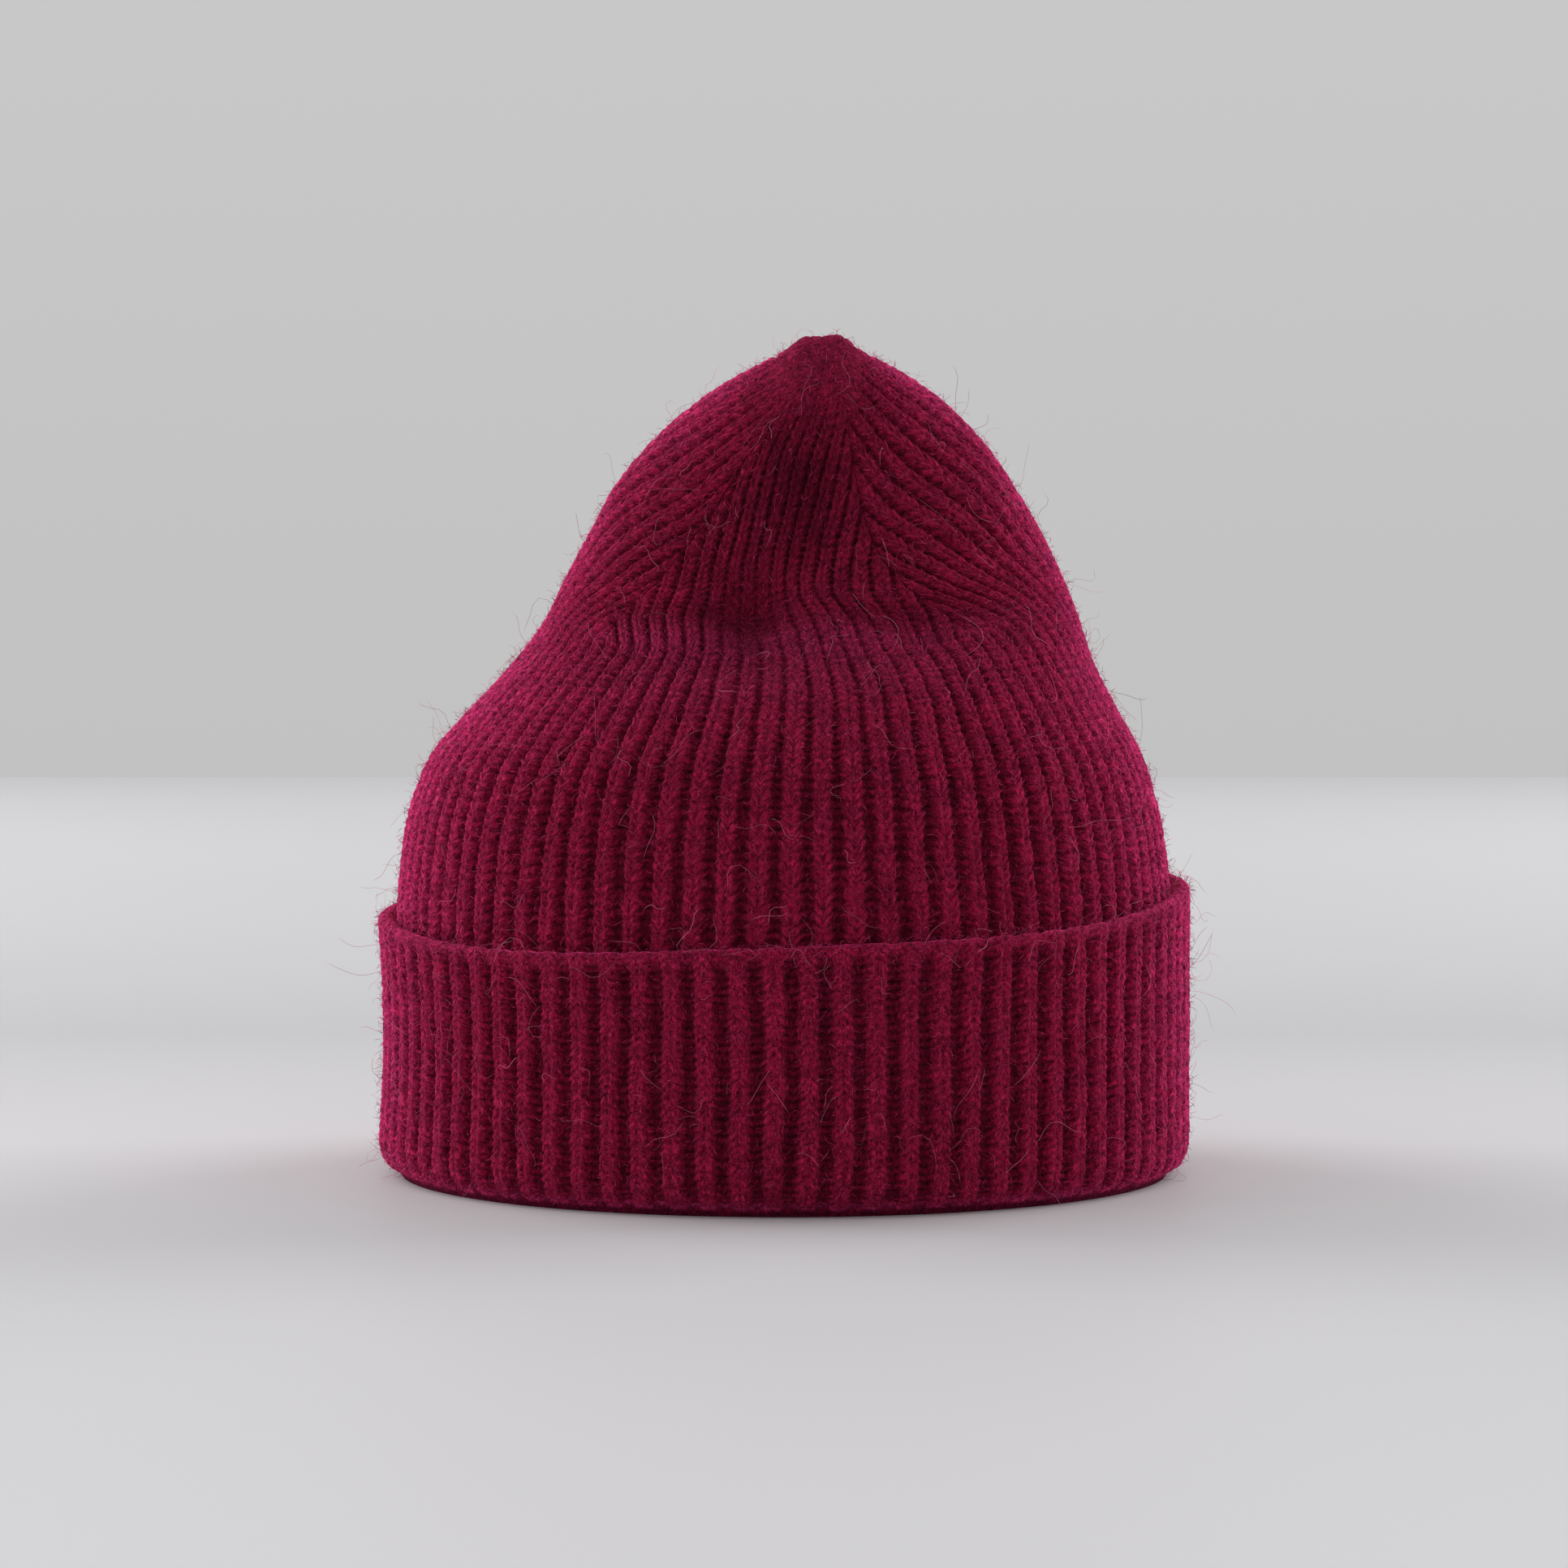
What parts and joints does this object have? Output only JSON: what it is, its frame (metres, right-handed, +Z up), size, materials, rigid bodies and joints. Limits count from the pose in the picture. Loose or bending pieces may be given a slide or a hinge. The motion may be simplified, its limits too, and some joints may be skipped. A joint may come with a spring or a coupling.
{
  "type": "beanie hat",
  "caption": "Ribbed knitted wool beanie with a turned-up cuff, standing on its fold with a peaked, gathered crown.",
  "frame": {"origin": "bottom centre of the hat, on the surface that its fold stands on", "axes": "+Z up, the front of the hat towards -Y, +X to the right as the front is seen"},
  "size_m": [0.1752, 0.1926, 0.1799],
  "materials": {
    "wool": "brushed raspberry wool rib knit"
  },
  "bodies": {
    "root": {"crown": "wool", "cuff": "wool"}
  },
  "joints": []
}
